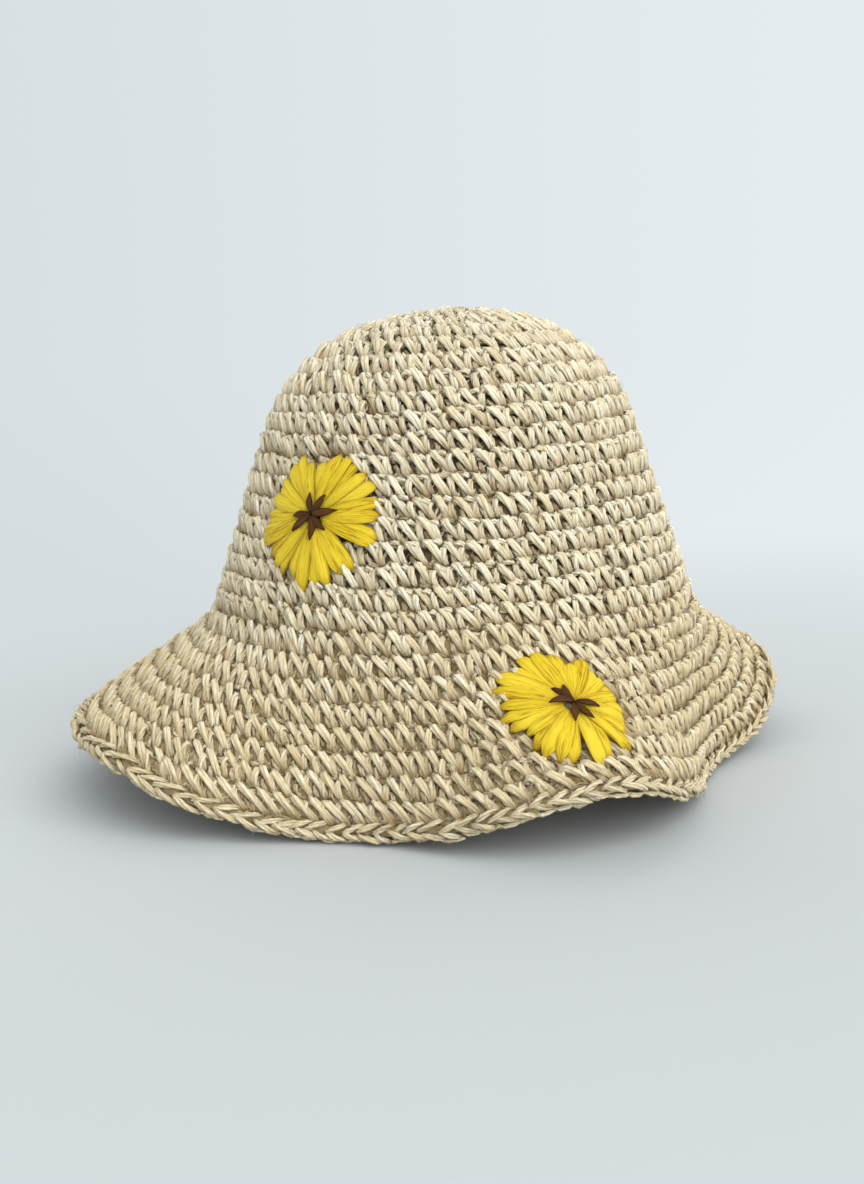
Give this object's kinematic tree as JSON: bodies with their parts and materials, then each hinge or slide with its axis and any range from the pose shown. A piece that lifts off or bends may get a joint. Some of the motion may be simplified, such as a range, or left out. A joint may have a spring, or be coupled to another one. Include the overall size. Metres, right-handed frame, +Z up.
{
  "type": "crocheted straw sun hat",
  "caption": "Soft crocheted straw sun hat with a rounded crown, a waved drooping brim with a braided edge, embroidered raffia daisies and an inner sweatband.",
  "frame": {"origin": "centre of the hat's bounding box, on the table it stands on", "axes": "+Z up along the crown's axis, -Y towards the front with the daisies, +X to the right as seen from the front"},
  "size_m": [0.3012, 0.2918, 0.1852],
  "materials": {
    "straw": "matte twisted paper straw",
    "raffia_yellow": "flat raffia ribbon with a soft sheen",
    "raffia_brown": "matte raffia ribbon",
    "ribbon": "ribbed cotton ribbon"
  },
  "bodies": {
    "root": {"crown_start": "straw", "crown_round_01": "straw", "crown_round_02": "straw", "crown_round_03": "straw", "crown_round_04": "straw", "crown_round_05": "straw", "crown_round_06": "straw", "crown_round_07": "straw", "crown_round_08": "straw", "crown_round_09": "straw", "crown_round_10": "straw", "crown_round_11": "straw", "crown_round_12": "straw", "crown_round_13": "straw", "crown_round_14": "straw", "crown_round_15": "straw", "crown_round_16": "straw", "crown_round_17": "straw", "crown_round_18": "straw", "crown_round_19": "straw", "brim_round_01": "straw", "brim_round_02": "straw", "brim_round_03": "straw", "brim_round_04": "straw", "brim_round_05": "straw", "brim_round_06": "straw", "brim_round_07": "straw", "brim_edge_round": "straw", "brim_edge_braid": "straw", "crown_daisy_petals": "raffia_yellow", "crown_daisy_star": "raffia_brown", "crown_daisy_tacks": "raffia_yellow", "brim_daisy_petals": "raffia_yellow", "brim_daisy_star": "raffia_brown", "brim_daisy_tacks": "raffia_yellow", "sweatband": "ribbon"}
  },
  "joints": []
}
